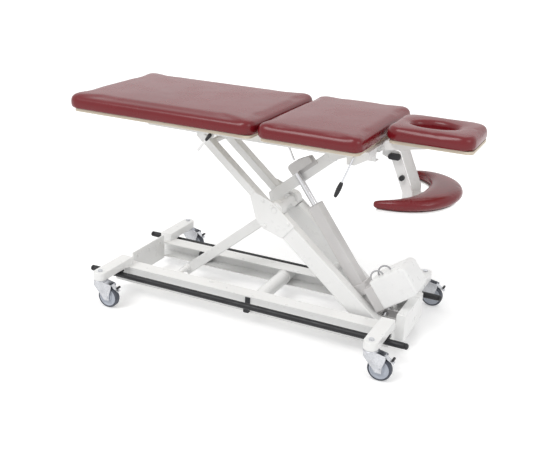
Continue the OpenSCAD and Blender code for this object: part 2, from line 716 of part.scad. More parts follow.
// Top frame: two channels as the rollers' tracks, cross members and the upper pivot
cross_w = 30;
cross_off = 24;
track_back = 228;
frame_x0 = track_x - track_back;
frame_x1 = top_pivot_x + boss_r + 1.1 * cross_w;
cross_h = 30;
side_in = 200;
side_w = 30;
module top_frame() {
    color("white") {
        for (s = [-1, 1]) {
            for (z = [frame_z, board_z - frame_t])
                translate([frame_x0, s > 0 ? frame_in : -frame_out, z])
                    cube([frame_x1 - frame_x0, frame_out - frame_in, frame_t]);
            translate([frame_x0, s > 0 ? frame_out - frame_t : -frame_out, frame_z])
                cube([frame_x1 - frame_x0, frame_t, frame_h]);
        }
        for (x = [frame_x0, mid_x0 + cross_off, frame_x1 - cross_w])
            translate([x, -frame_in, board_z - cross_h]) cube([cross_w, 2 * frame_in, cross_h]);
        for (x = [mid_x0 + cross_off, frame_x1 - cross_w], s = [-1, 1])
            translate([x, s > 0 ? frame_out : -frame_out - bracket_y + frame_out, board_z - cross_h])
                cube([cross_w, bracket_y - frame_out, cross_h]);
        translate([top_pivot_x, 0, top_pivot_z])
            bar_across(pin_d, -frame_out + frame_t - over, frame_out - frame_t + over);
        for (s = [-1, 1]) translate([strut_x, 0, strut_z]) across(
            s > 0 ? strut_gap : -strut_gap - frame_t, s > 0 ? strut_gap + frame_t : -strut_gap) {
                circle(r = strut_boss, $fn = 48);
                translate([-strut_boss, 0]) square([2 * strut_boss, board_z - cross_h / 2 - strut_z]);
            }
        translate([strut_x, 0, strut_z]) bar_across(strut_pin_d, -strut_gap - frame_t, strut_gap + frame_t);
        for (s = [-1, 1]) {
            h0 = s > 0 ? leg_hinge_y - frame_t - seat : -leg_hinge_y + seat;
            across(h0, h0 + frame_t) strap([mid_x0 + cross_off + cross_w / 2, leg_hinge_z - leg_hinge_r / 2],
                [hinge_x, leg_hinge_z], leg_hinge_r);
            translate([hinge_x, 0, leg_hinge_z]) bar_across(strut_rod_d,
                s > 0 ? h0 : -leg_hinge_y - 2 * frame_t, s > 0 ? leg_hinge_y + 2 * frame_t : h0 + frame_t);
        }
        across(head_lever_y + lever_d + seat, head_lever_y + lever_d + seat + frame_t) polygon([
            [lever_plate[0], board_z], [lever_plate[1], frame_z - frame_t / 2],
            [lever_plate[2], frame_z - frame_t / 2],
            [frame_x1, board_z - cross_h], [frame_x1, board_z]]);
        translate([frame_x1 - cross_w, head_lever_y + lever_d + seat, board_z - cross_h])
            cube([cross_w, -bracket_y - head_lever_y, cross_h]);
        for (s = [-1, 1]) {
            y0 = s > 0 ? head_y - frame_t - seat : -head_y + seat;
            across(y0, y0 + frame_t) {
                translate([head_hinge_x, head_hinge_z]) circle(r = hinge_r, $fn = 48);
                translate([frame_x1 - over, head_hinge_z - hinge_r])
                    square([head_hinge_x - frame_x1 + over, 2 * hinge_r]);
            }
            translate([head_hinge_x, 0, head_hinge_z]) bar_across(hinge_d,
                s > 0 ? y0 : -head_y - 2 * frame_t, s > 0 ? head_y + 2 * frame_t : y0 + frame_t);
            z0 = s > 0 ? rest_y + rest_bar_t + seat : -rest_y - rest_bar_t - seat - frame_t;
            difference() {
                across(z0, z0 + frame_t) {
                    strap([frame_x1, rest_pivot[1] + rest_bar_r], rest_pivot, rest_bar_r);
                }
                translate([frame_x1 - cross_w, z0 - over, rest_pivot[1] - cross_h])
                    cube([cross_w, frame_t + 2 * over, 3 * cross_h]);
            }
            translate([rest_pivot[0], 0, rest_pivot[1]]) bar_across(hinge_d,
                s > 0 ? rest_y - over : z0, s > 0 ? z0 + frame_t : -rest_y + over);
        }
    }
}
bracket_y = 214;
leg_hinge_y = 180;
strut_rod_d = 10;
leg_hinge_r = 9;
leg_hinge_gap = 1;
leg_hinge_z = board_z - leg_hinge_r - leg_hinge_gap;
lever_plate_back = [94, 90, 56];
lever_plate = [for (b = lever_plate_back) mid_x1 - b];
strut_gap = 14;
strut_boss = 10;
strut_pin_d = 8;
strut_x = mid_x0 + cross_off + cross_w / 2;
strut_z = board_z - cross_h - strut_boss - 1.5 * frame_t;
module mid_board() {
    color("tan") translate([mid_x0 + board_in, -cushion_w / 2 + board_in, board_z]) linear_extrude(height = board_t)
        translate([mid_len / 2 - board_in, cushion_w / 2 - board_in])
            soft_rect(mid_len - 2 * board_in, cushion_w - 2 * board_in, corner_r - board_in);
}
board_in = 16;

limit_rod_d = 9;
limit_rod_y = -49;
limit_rod_run = 56;
limit_rod_fall = 154;
limit_rod_end = [mid_x0 + limit_rod_run, pad_z - limit_rod_fall];
module limit_rod() {
    top = [mid_x0 - limit_rod_d, board_z - cross_h / 2];
    run = limit_rod_end - top;
    color("silver") {
        translate([top[0], limit_rod_y, top[1]]) rotate([0, atan2(run[0], run[1]), 0])
            cylinder(d = limit_rod_d, h = norm(run), $fn = 32);
        translate([top[0] - limit_rod_d, limit_rod_y - limit_rod_d, board_z - cross_h])
            cube([mid_x0 + cross_off - top[0] + limit_rod_d, 2 * limit_rod_d, frame_t]);
        translate([top[0] - limit_rod_d, limit_rod_y - limit_rod_d, board_z - cross_h])
            cube([frame_t, 2 * limit_rod_d, cross_h]);
    }
}

// Leg section: a frame of two side tubes and a cross tube under its board, and a locking gas spring
leg_cross_x = frame_x0 - 1.5 * cross_w;
leg_lug_run = 42;
leg_lug_drop = 23;
leg_tube_in = 40;
leg_lug_x = track_x + leg_lug_run;
leg_lug_z = board_z - leg_lug_drop;
module leg_frame() {
    color("white") {
        for (s = [-1, 1])
            translate([leg_x0 + leg_tube_in, s > 0 ? side_in : -side_in - side_w, board_z - cross_h])
                cube([leg_len - leg_tube_in - 1.5 * frame_t, side_w, cross_h]);
        translate([leg_cross_x, -side_in, board_z - cross_h]) cube([cross_w, 2 * side_in, cross_h]);
        for (s = [-1, 1]) translate([leg_lug_x, 0, leg_lug_z])
            across(s > 0 ? strut_gap : -strut_gap - frame_t, s > 0 ? strut_gap + frame_t : -strut_gap) {
                circle(r = strut_boss, $fn = 48);
                translate([-strut_boss, 0]) square([2 * strut_boss, board_z - leg_lug_z]);
            }
        translate([leg_lug_x, 0, leg_lug_z]) bar_across(strut_pin_d, -strut_gap - frame_t, strut_gap + frame_t);
        for (s = [-1, 1]) {
            y0 = s > 0 ? leg_hinge_y : -leg_hinge_y - frame_t;
            difference() {
                union() {
                    across(y0, y0 + frame_t)
                        strap([hinge_x - 2 * cross_w, leg_hinge_z], [hinge_x, leg_hinge_z], leg_hinge_r);
                    translate([hinge_x - 2 * cross_w, s > 0 ? y0 : -side_in, leg_hinge_z - leg_hinge_r])
                        cube([cross_w, side_in - leg_hinge_y, 2 * leg_hinge_r]);
                }
                translate([hinge_x, 0, leg_hinge_z])
                    bar_across(strut_rod_d + 2 * fit, y0 - over, y0 + frame_t + over);
            }
        }
        translate([leg_lever[0][0] - side_w / 2, leg_lever_y + lever_d + seat, board_z - cross_h])
            cube([side_w, frame_t, cross_h]);
    }
}
module leg_board() {
    color("tan") translate([(leg_x0 + leg_x1) / 2, 0, board_z]) linear_extrude(height = board_t)
        soft_rect(leg_len - 2 * board_in, cushion_w - 2 * board_in, corner_r - board_in);
}
strut_len = norm([strut_x - leg_lug_x, strut_z - leg_lug_z]);
strut_angle = atan2(leg_lug_z - strut_z, strut_x - leg_lug_x);
strut_d = 22;
strut_bore_d = 16;
strut_w = 2 * strut_gap - 4 * seat;
strut_share = 0.62;
module strut_place() { translate([strut_x, 0, strut_z]) rotate([0, strut_angle - 90, 0]) children(); }
module leg_strut_cylinder() {
    color("dimgray") strut_place() difference() {
        union() {
            translate([0, 0, strut_boss]) cylinder(d = strut_d, h = strut_len * strut_share, $fn = 48);
            bar_across(2 * strut_boss, -strut_w / 2, strut_w / 2);
            cylinder(d = strut_rod_d, h = 2 * strut_boss, $fn = 48);
        }
        bar_across(strut_pin_d + 2 * fit, -strut_w, strut_w);
        translate([0, 0, strut_len * 0.3]) cylinder(d = strut_bore_d, h = strut_len, $fn = 48);
    }
}
module leg_strut_rod() {
    color("silver") strut_place() difference() {
        union() {
            translate([0, 0, strut_len * 0.42])
                cylinder(d = strut_rod_d, h = strut_len * 0.58 - strut_pin_d / 2, $fn = 48);
            translate([0, 0, strut_len]) bar_across(2 * strut_boss, -strut_w / 2, strut_w / 2);
        }
        translate([0, 0, strut_len]) bar_across(strut_pin_d + 2 * fit, -strut_w, strut_w);
    }
}

// Head section: a tongue and cross plate on a hinge at the frame's end, under its board
hinge_r = 11;
head_hinge_x = frame_x1 + hinge_r + 5 * seat;
head_hinge_z = board_z - hinge_r;
head_plate_w = 36;
head_plate_in = 20;
hinge_d = 12;
head_y = 96;
module head_frame() {
    color("white") {
        for (s = [-1, 1]) {
            y0 = s > 0 ? head_y : -head_y - frame_t;
            difference() {
                across(y0, y0 + frame_t) {
                    translate([head_hinge_x, head_hinge_z]) circle(r = hinge_r, $fn = 48);
                    polygon([[head_hinge_x, head_hinge_z - hinge_r],
                        [head_x0 + head_len * 0.45, head_board_z - hinge_r],
                        [head_x0 + head_len * 0.45, head_board_z],
                        [head_hinge_x + hinge_r / 2, head_board_z], [head_hinge_x - hinge_r, head_hinge_z]]);
                }
                translate([head_hinge_x, 0, head_hinge_z])
                    bar_across(hinge_d + 2 * fit, y0 - over, y0 + frame_t + over);
            }
        }
        translate([head_x0 + head_plate_in, -head_y - over, head_board_z - frame_t])
            cube([head_plate_w, 2 * head_y + 2 * over, frame_t]);
    }
}
hole_end = 110;
hole_x = head_x1 - hole_len / 2 - hole_end;
module head_board() {
    color("tan") translate([0, 0, head_board_z]) linear_extrude(height = board_t) difference() {
        translate([(head_x0 + head_x1) / 2, 0])
            soft_rect(head_len - 2 * board_in, head_w - 2 * board_in, corner_r - board_in);
        translate([hole_x - (hole_len - hole_w) / 2, 0]) circle(d = hole_w + board_t, $fn = 64);
        translate([hole_x + (hole_len - hole_w) / 2, 0]) circle(d = hole_w + board_t, $fn = 64);
        translate([hole_x - (hole_len - hole_w) / 2, -(hole_w + board_t) / 2])
            square([hole_len - hole_w, hole_w + board_t]);
    }
}

// Arm rest: two straps that hang from the frame's end and carry a crescent board and its pad
rest_y = 58;
rest_bar_t = 7;
rest_bar_r = 22;
rest_ahead = 55;
rest_drop = 59;
rest_run = 64;
rest_rise = 25;
rest_back = 6;
rest_len = 265;
rest_pivot = [mid_x1 + rest_ahead, pad_z - rest_drop];
rest_foot = [rest_pivot[0] + rest_run, rest_z + rest_rise];
rest_x = rest_pivot[0] - rest_back;
rest_end = rest_pivot[0] + rest_len;
rest_reach = rest_end - rest_x - rest_pad;
rest_board_t = 8;
function crescent(out, n) = [for (i = [0 : n]) let (t = -90 + 180 * i / n,
    half = rest_tip + (rest_pad - rest_tip) * pow(cos(t), 2))
    [rest_x + (rest_reach + out * half) * cos(t), (rest_half + out * half) * sin(t)]];
module arm_rest_frame() {
    color("white") {
        for (s = [-1, 1]) {
            y0 = s > 0 ? rest_y : -rest_y - rest_bar_t;
            difference() {
                across(y0, y0 + rest_bar_t) {
                    strap(rest_pivot, rest_foot, rest_bar_r);
                    translate([rest_foot[0] - rest_bar_r, rest_z - seat - rest_board_t])
                        square([2 * rest_bar_r, rest_foot[1] - rest_z + seat + rest_board_t]);
                }
                translate([rest_pivot[0], 0, rest_pivot[1]])
                    bar_across(hinge_d + 2 * fit, y0 - over, y0 + rest_bar_t + over);
            }
        }
        translate([rest_foot[0] - rest_bar_r, -rest_y - rest_bar_t, rest_z - seat - rest_board_t])
            cube([rest_pad + rest_bar_r, 2 * (rest_y + rest_bar_t), rest_board_t]);
        translate([0, 0, rest_z - seat - rest_board_t]) linear_extrude(height = rest_board_t)
            polygon(concat(crescent(0.82, 32), [for (p = [32 : -1 : 0]) crescent(-0.82, 32)[p]]));
    }
}

// Soft forms: rings of one outline, drawn in towards the underside and rounded over to a crown
side_share = [[0, 0.17], [0.14, 0.06], [0.34, 0], [0.56, 0], [0.74, 0.07], [0.88, 0.2], [0.96, 0.38]];
crown_share = [[0.2, 0.35], [0.45, 0.72], [0.75, 1]];
corner_n = 6;
function round_ring(w, h, r, z) = [for (c = [0 : 3], i = [0 : corner_n])
    let (a = 90 * c + 90 * i / corner_n, sx = c == 0 || c == 3 ? 1 : -1, sy = c < 2 ? 1 : -1)
    [sx * (w / 2 - r) + r * cos(a), sy * (h / 2 - r) + r * sin(a), z]];
module loft(rings) {
    n = len(rings[0]);
    m = len(rings);
    polyhedron(points = [for (r = rings, p = r) p], faces = concat(
        [[for (i = [0 : n - 1]) i]], [[for (i = [n - 1 : -1 : 0]) (m - 1) * n + i]],
        [for (k = [0 : m - 2], i = [0 : n - 1], t = [0, 1]) let (j = (i + 1) % n)
            t == 0 ? [k * n + i, (k + 1) * n + i, (k + 1) * n + j]
                : [k * n + i, (k + 1) * n + j, k * n + j]]));
}
module flat_cushion(x0, len, z0) {
    edge_h = cushion_t - crown;
    color("maroon") translate([x0 + len / 2, 0, z0]) loft(concat(
        [for (s = side_share) round_ring(len - 2 * s[1] * edge_h, cushion_w - 2 * s[1] * edge_h,
            corner_r, s[0] * edge_h)],
        [for (s = crown_share) round_ring(len * (1 - s[0]) - 0.9 * edge_h * (1 - s[0]),
            cushion_w * (1 - s[0]) - 0.9 * edge_h * (1 - s[0]), corner_r * (1 - s[0]),
            edge_h + crown * s[1])]));
}
module leg_cushion() { flat_cushion(leg_x0, leg_len, pad_z); }
module mid_cushion() { flat_cushion(mid_x0, mid_len, pad_z); }

// A closed band of rings, for forms that go round a hole
module band(rings) {
    n = len(rings[0]);
    m = len(rings);
    polyhedron(points = [for (r = rings, p = r) p],
        faces = [for (k = [0 : m - 1], i = [0 : n - 1], t = [0, 1])
            let (j = (i + 1) % n, q = (k + 1) % m)
            t == 0 ? [k * n + i, q * n + i, q * n + j] : [k * n + i, q * n + j, k * n + j]]);
}
function hole_ring(w, h, z) = let (n = 4 * (corner_n + 1)) [for (i = [0 : n - 1])
    let (c = floor(i / (corner_n + 1)), f = i % (corner_n + 1), a = 90 * c + 90 * (f + 0.5) / (corner_n + 1))
    [hole_x - (head_x0 + head_x1) / 2 + w / 2 * cos(a), h / 2 * sin(a), z]];
lip_share = [[0.97, 0.3], [0.86, 0.1], [0.6, 0], [0.3, 0], [0, 0.05]];
module head_cushion() {
    edge_h = cushion_t - crown;
    color("maroon") translate([(head_x0 + head_x1) / 2, 0, head_pad_z]) band(concat(
        [for (s = side_share) round_ring(head_len - 2 * s[1] * edge_h, head_w - 2 * s[1] * edge_h,
            corner_r, s[0] * edge_h)],
        [for (s = lip_share) hole_ring(hole_len + 2 * s[1] * edge_h, hole_w + 2 * s[1] * edge_h,
            s[0] * edge_h)]));
}

// The arm rest's pad: an oval section swept along the crescent's middle line
rest_n = 28;
function rest_ring(i) = let (t = -90 + 180 * i / rest_n,
    half = rest_tip + (rest_pad - rest_tip) * pow(cos(t), 2),
    end = i == 0 || i == rest_n ? 0.45 : i == 1 || i == rest_n - 1 ? 0.85 : 1,
    lift_share = [[-1, 0.42], [-0.93, 0.12], [-0.72, 0], [0.72, 0], [0.93, 0.12], [1, 0.42],
        [0.97, 0.7], [0.8, 0.91], [0.4, 1], [-0.4, 1], [-0.8, 0.91], [-0.97, 0.7]])
    [for (s = lift_share) [rest_x + (rest_reach + s[0] * half * end) * cos(t)
            - (i == 0 || i == rest_n ? rest_tip * 0.6 : 0),
        (rest_half + s[0] * half * end) * sin(t),
        rest_z + rest_t * (0.5 + (s[1] - 0.5) * (end < 0.5 ? 0.6 : 1))]];
module arm_rest_cushion() {
    color("maroon") loft([for (i = [0 : rest_n]) rest_ring(i)]);
}

// Knobs and levers
knob_y = rest_y + rest_bar_t + frame_t + 4 * seat;
knob_size = [52, 24];
knob_t = 17;
knob_r = 11;
module oval_knob() {
    color("black") translate([rest_pivot[0], 0, rest_pivot[1]]) {
        translate([0, -knob_y - knob_t, 0]) rotate([-90, 0, 0]) linear_extrude(height = knob_t)
            soft_rect(knob_size[0], knob_size[1], knob_r);
        bar_across(hinge_d, -knob_y - over, -knob_y + 3 * seat);
    }
}
small_knob_share = [37 / 64, 86 / 148];
small_knob_at = [for (i = [0, 1]) rest_pivot[i] + small_knob_share[i] * (rest_foot[i] - rest_pivot[i])];
small_knob_d = 22;
small_knob_t = 16;
module small_knob() {
    color("black") translate([small_knob_at[0], 0, small_knob_at[1]]) {
        bar_across(small_knob_d, -rest_y - rest_bar_t - small_knob_t, -rest_y - rest_bar_t - seat);
    }
}
lever_d = 8;
head_lever_y = -250;
head_lever_back = [58, 102, 123];
head_lever_fall = [37, 152, 207];
head_lever = [for (i = [0 : 2]) [mid_x1 - head_lever_back[i], pad_z - head_lever_fall[i]]];
module rod_between(p, q, d) {
    translate([p[0], 0, p[1]]) rotate([0, atan2(q[0] - p[0], q[1] - p[1]), 0])
        cylinder(d = d, h = norm(q - p), $fn = 32);
}
module head_lever() {
    color("black") translate([0, head_lever_y, 0]) {
        rod_between(head_lever[0], head_lever[1], lever_d);
        rod_between(head_lever[1], head_lever[2], 2.4 * lever_d);
        translate([head_lever[0][0], 0, head_lever[0][1]]) bar_across(1.8 * lever_d, -lever_d, lever_d);
        translate([head_lever[2][0], 0, head_lever[2][1]]) sphere(d = 2.3 * lever_d, $fn = 32);
    }
}
leg_lever_in = 43;
leg_lever_back = [216, 273];
leg_lever_fall = [29, 102];
leg_lever_y = leg_lever_in - cushion_w / 2;
leg_lever = [for (i = [0, 1]) [hinge_x - leg_lever_back[i], pad_z - leg_lever_fall[i]]];
module leg_lever() {
    color("black") translate([0, leg_lever_y, 0]) {
        rod_between(leg_lever[0], leg_lever[1], 1.6 * lever_d);
        translate([leg_lever[0][0], 0, leg_lever[0][1]]) bar_across(1.8 * lever_d, -lever_d, lever_d);
    }
}

rail_near();
rail_far();
base_cross_tube();
foot_end_plate();
head_end_box();
foot_outriggers();
head_outriggers();
base_pivot_shaft();
actuator_mount();
switch_bracket();
activation_bar_near();
activation_bar_far();
fork_foot_near();
fork_foot_far();
fork_head_near();
fork_head_far();
wheel_foot_near();
wheel_foot_far();
wheel_head_near();
wheel_head_far();
tyre_foot_near();
tyre_foot_far();
tyre_head_near();
tyre_head_far();
brake_foot_near();
brake_foot_far();
brake_head_near();
brake_head_far();
outer_arm_near();
outer_arm_far();
outer_cross_tubes();
base_rollers();
top_rollers();
inner_arm();
actuator_clevis();
actuator_tube();
gearbox();
motor_cover();
piston_rod();
motor_cables();
top_frame();
mid_board();
limit_rod();
leg_frame();
leg_board();
leg_strut_cylinder();
leg_strut_rod();
head_frame();
head_board();
arm_rest_frame();
arm_rest_cushion();
leg_cushion();
mid_cushion();
head_cushion();
oval_knob();
small_knob();
head_lever();
leg_lever();
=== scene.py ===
"""A height-adjustable treatment table: stuffed cushions, paint, metal, rounded edges, levers and
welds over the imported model, with a floor, light and a camera."""
import json
import math
import bmesh
import bpy
import numpy as np
from mathutils import Matrix, Vector


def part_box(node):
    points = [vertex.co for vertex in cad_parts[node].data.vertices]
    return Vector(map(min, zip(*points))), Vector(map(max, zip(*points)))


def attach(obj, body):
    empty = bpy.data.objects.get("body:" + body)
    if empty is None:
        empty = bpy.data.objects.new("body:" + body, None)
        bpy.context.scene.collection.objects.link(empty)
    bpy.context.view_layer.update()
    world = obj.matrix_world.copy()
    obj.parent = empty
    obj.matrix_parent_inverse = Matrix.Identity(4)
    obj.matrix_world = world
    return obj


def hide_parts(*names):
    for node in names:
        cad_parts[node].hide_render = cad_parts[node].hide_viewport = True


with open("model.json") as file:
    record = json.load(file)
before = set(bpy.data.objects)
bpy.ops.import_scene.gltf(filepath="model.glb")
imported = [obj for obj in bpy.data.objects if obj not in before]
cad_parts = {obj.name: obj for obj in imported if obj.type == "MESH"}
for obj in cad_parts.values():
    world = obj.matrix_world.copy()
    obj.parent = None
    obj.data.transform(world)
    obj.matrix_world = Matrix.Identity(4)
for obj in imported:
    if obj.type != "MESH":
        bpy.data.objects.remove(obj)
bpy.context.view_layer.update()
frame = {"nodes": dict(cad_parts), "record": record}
MM = 0.001


def placed(name, data):
    """A scene object that holds the data."""
    thing = bpy.data.objects.new(name, data)
    bpy.context.scene.collection.objects.link(thing)
    return thing


# Camera

CAMERA_PLACE = (1.4630163, -3.2156911, 1.7480539)
CAMERA_TURN = (24.5894, 20.7818, 2.4462)
FOCAL_LENGTH = 54.153
FILM_WIDTH = 36


def table_camera():
    """A camera at the photograph's place. CAMERA_TURN is its yaw, its pitch down and its roll in
    degrees, and the focal length and the film's width are in millimetres."""
    yaw, pitch, roll = (math.radians(angle) for angle in CAMERA_TURN)
    ahead = Vector((-math.sin(yaw) * math.cos(pitch), math.cos(yaw) * math.cos(pitch),
                    -math.sin(pitch)))
    level = Vector((math.cos(yaw), math.sin(yaw), 0))
    above = level.cross(ahead)
    right = math.cos(roll) * level + math.sin(roll) * above
    up = -math.sin(roll) * level + math.cos(roll) * above
    lens = bpy.data.cameras.new("table_camera")
    lens.sensor_fit = "HORIZONTAL"
    lens.sensor_width = FILM_WIDTH
    lens.lens = FOCAL_LENGTH
    lens.clip_start, lens.clip_end = 0.1, 50
    camera = placed("table_camera", lens)
    turn = Matrix((right, up, -ahead)).transposed().to_4x4()
    camera.matrix_world = Matrix.Translation(Vector(CAMERA_PLACE)) @ turn
    bpy.context.scene.camera = camera


table_camera()


# Materials

NOISE_ROUGHNESS = 0.55
NOISE_SPREAD = (0.3, 0.7)
COAT_ROUGHNESS = 0.25


class Finish:
    """A material's node tree, with short calls for the few nodes that every finish is made of."""

    def __init__(self, name, rough, metal=0.0, specular=0.5, coat=0.0):
        self.material = bpy.data.materials.new(name)
        self.material.use_nodes = True
        self.nodes = self.material.node_tree.nodes
        self.links = self.material.node_tree.links
        self.shader = self.nodes["Principled BSDF"]
        for socket, value in (("Metallic", metal), ("Roughness", rough),
                              ("Specular IOR Level", specular), ("Coat Weight", coat),
                              ("Coat Roughness", COAT_ROUGHNESS)):
            self.shader.inputs[socket].default_value = value
        self.place = self.nodes.new("ShaderNodeTexCoord").outputs["Object"]

    def node(self, kind, inputs):
        """A new node whose inputs are each set to a value or linked to another node's output."""
        node = self.nodes.new("ShaderNode" + kind)
        for name, value in inputs.items():
            if isinstance(value, bpy.types.NodeSocket):
                self.links.new(value, node.inputs[name])
            else:
                node.inputs[name].default_value = value
        return node

    def stretched(self, scale):
        """Object coordinates, stretched along each axis."""
        return self.node("Mapping", {"Scale": scale, "Vector": self.place}).outputs["Vector"]

    def warped(self, scale, reach):
        """Object coordinates pushed about by a noise, so that a pattern on them is uneven."""
        wobble = self.node("TexNoise", {"Scale": scale, "Vector": self.place})
        small = self.nodes.new("ShaderNodeVectorMath")
        small.operation = "SCALE"
        small.inputs["Scale"].default_value = reach
        self.links.new(wobble.outputs["Color"], small.inputs[0])
        moved = self.nodes.new("ShaderNodeVectorMath")
        moved.operation = "ADD"
        self.links.new(self.place, moved.inputs[0])
        self.links.new(small.outputs["Vector"], moved.inputs[1])
        return moved.outputs["Vector"]

    def noise(self, scale, detail, at=None):
        """Cloudy noise, around 0.5."""
        return self.node("TexNoise", {"Scale": scale, "Detail": detail,
                                      "Roughness": NOISE_ROUGHNESS,
                                      "Vector": at or self.place}).outputs["Fac"]

    def cells(self, scale, feature="F1", at=None):
        """The distance in a cell pattern, from the middle or from the edge of each cell."""
        node = self.node("TexVoronoi", {"Scale": scale, "Vector": at or self.place})
        node.feature = feature
        return node.outputs["Distance"]

    def ramp(self, value, stops):
        """Colours over a value, as (position, (r, g, b)) stops."""
        node = self.node("ValToRGB", {"Fac": value})
        present = node.color_ramp.elements
        for i, (position, colour) in enumerate(stops):
            stop = present[i] if i < 2 else present.new(position)
            stop.position = position
            stop.color = (*colour, 1)
        return node.outputs["Color"]

    def span(self, noise, low, high):
        """A noise carried from the spread that most of it has over to low..high."""
        return self.node("MapRange", {"From Min": NOISE_SPREAD[0], "From Max": NOISE_SPREAD[1],
                                      "To Min": low, "To Max": high,
                                      "Value": noise}).outputs["Result"]

    def mix(self, a, b, share, blend="MIX"):
        """Two colours blended. Inputs 6 and 7 and output 2 are the node's sockets for colours."""
        node = self.nodes.new("ShaderNodeMix")
        node.data_type = "RGBA"
        node.blend_type = blend
        node.inputs["Factor"].default_value = share
        self.links.new(a, node.inputs[6])
        self.links.new(b, node.inputs[7])
        return node.outputs[2]

    def colour(self, socket):
        """The finish's colour."""
        self.links.new(socket, self.shader.inputs["Base Color"])

    def roughness(self, socket):
        """The finish's roughness."""
        self.links.new(socket, self.shader.inputs["Roughness"])

    def bump(self, height, strength, depth):
        """The finish's fine relief, depth in metres."""
        node = self.node("Bump", {"Strength": strength, "Distance": depth, "Height": height})
        self.links.new(node.outputs["Normal"], self.shader.inputs["Normal"])


def enamel(name, pale, deep, gloss=0.3):
    """Baked enamel on steel: a slow drift of tone, fine orange peel, and duller patches."""
    f = Finish(name, rough=gloss, coat=0.15)
    f.colour(f.ramp(f.noise(5, 3), [(0.3, deep), (0.62, pale)]))
    f.roughness(f.span(f.noise(23, 5), gloss - 0.05, gloss + 0.10))
    f.bump(f.noise(420, 2), 0.12, 0.0003)
    return f.material


def ground_steel():
    """Ground steel: tone, gloss and height all follow one cloudy noise."""
    f = Finish("ground_steel", rough=0.24, metal=1.0)
    cloud = f.noise(1.0, 4, at=f.stretched((14, 14, 14)))
    f.colour(f.ramp(cloud, [(0.32, (0.60, 0.60, 0.62)), (0.66, (0.74, 0.74, 0.75))]))
    f.roughness(f.span(cloud, 0.16, 0.36))
    f.bump(cloud, 0.08, 0.0003)
    return f.material


def zinc_plate():
    """Zinc plate on pressed steel: small bright and dull crystals."""
    f = Finish("zinc_plate", rough=0.34, metal=1.0)
    crystals = f.cells(140)
    bright = f.ramp(crystals, [(0.0, (0.46, 0.47, 0.50)), (0.8, (0.70, 0.71, 0.74))])
    drift = f.ramp(f.noise(18, 4), [(0.3, (0.44, 0.45, 0.47)), (0.7, (0.76, 0.77, 0.80))])
    f.colour(f.mix(bright, drift, 0.5))
    f.roughness(f.span(f.noise(60, 4), 0.26, 0.46))
    f.bump(crystals, 0.10, 0.0003)
    return f.material


def moulded(name, pale, deep, rough, grain=260, coat=0.0):
    """Moulded plastic or rubber: fine texture from the mould, a drift of tone, scuffed gloss."""
    f = Finish(name, rough=rough, specular=0.4, coat=coat)
    f.colour(f.ramp(f.noise(14, 5), [(0.32, deep), (0.68, pale)]))
    f.roughness(f.span(f.noise(40, 4), rough - 0.10, rough + 0.14))
    f.bump(f.cells(grain), 0.18, 0.0004)
    return f.material


def vinyl():
    """Burgundy upholstery vinyl: leather grain of small uneven cells, with painted shade darkening
    the sunken grooves along their edges, and a slow drift of tone."""
    f = Finish("burgundy_vinyl", rough=0.25, specular=0.46)
    tone = f.ramp(f.noise(2.2, 3), [(0.30, (0.158, 0.0040, 0.0085)),
                                    (0.52, (0.172, 0.0050, 0.0100)),
                                    (0.74, (0.184, 0.0060, 0.0115))])
    grain = f.cells(520, "DISTANCE_TO_EDGE", f.warped(210, 0.0022))
    # Painted shade: the cell edges, which the bump below sinks into grooves, are darkened to 0.9 in
    # the colour.
    groove_shade = f.ramp(grain, [(0.02, (0.90, 0.90, 0.90)), (0.12, (1, 1, 1))])
    f.colour(f.mix(tone, groove_shade, 1.0, "MULTIPLY"))
    f.roughness(f.span(f.noise(9, 4), 0.23, 0.29))
    f.bump(grain, 0.07, 0.0002)
    return f.material


def plywood():
    """A sealed birch plywood board: pale veneers, about two millimetres thick in the edge, with
    the grain along the board."""
    f = Finish("plywood", rough=0.6, specular=0.35)
    layers = f.node("TexWave", {"Scale": 74, "Distortion": 0.6, "Detail": 2, "Vector": f.place})
    layers.bands_direction = "Z"
    fibre = f.noise(1.0, 6, at=f.stretched((6, 90, 90)))
    veneer = f.ramp(layers.outputs["Fac"], [(0.2, (0.50, 0.41, 0.30)), (0.8, (0.74, 0.66, 0.53))])
    grain = f.ramp(fibre, [(0.3, (0.60, 0.51, 0.39)), (0.7, (0.80, 0.73, 0.61))])
    f.colour(f.mix(veneer, grain, 0.55))
    f.roughness(f.span(fibre, 0.5, 0.75))
    f.bump(fibre, 0.25, 0.0006)
    return f.material


FINISHES = {
    "white_paint": enamel("white_enamel", (0.90, 0.90, 0.892), (0.87, 0.87, 0.86)),
    "grey_paint": enamel("light_grey_enamel", (0.66, 0.645, 0.64), (0.60, 0.585, 0.58), 0.34),
    "steel": ground_steel(),
    "zinc": zinc_plate(),
    "black_plastic": moulded("black_moulding", (0.022, 0.022, 0.025), (0.010, 0.010, 0.012),
                             0.42),
    "dark_plastic": moulded("dark_moulding", (0.045, 0.046, 0.052), (0.026, 0.027, 0.031), 0.5),
    "grey_plastic": moulded("wheel_moulding", (0.50, 0.53, 0.59), (0.42, 0.45, 0.51), 0.42),
    "tyre": moulded("tyre_rubber", (0.090, 0.098, 0.120), (0.058, 0.064, 0.082), 0.62, 180),
    "white_plastic": moulded("white_moulding", (0.90, 0.90, 0.895), (0.87, 0.87, 0.865), 0.33,
                             320, 0.1),
    "upholstery": vinyl(),
    "board": plywood(),
    "lead": moulded("lead_sheath", (0.50, 0.50, 0.51), (0.40, 0.40, 0.42), 0.48, 400),
}

SLOTS = {part["node"]: part["material_slot"] for part in frame["record"]["subparts"]}
BODIES = {node: body for body, nodes in frame["record"]["behaviour"]["bodies"].items()
          for node in nodes}


def paint_nodes():
    """Each CAD node takes the finish of the slot that the record gives it."""
    for node, slot in SLOTS.items():
        mesh = frame["nodes"][node].data
        mesh.materials.clear()
        mesh.materials.append(FINISHES[slot])


paint_nodes()


# Surfaces

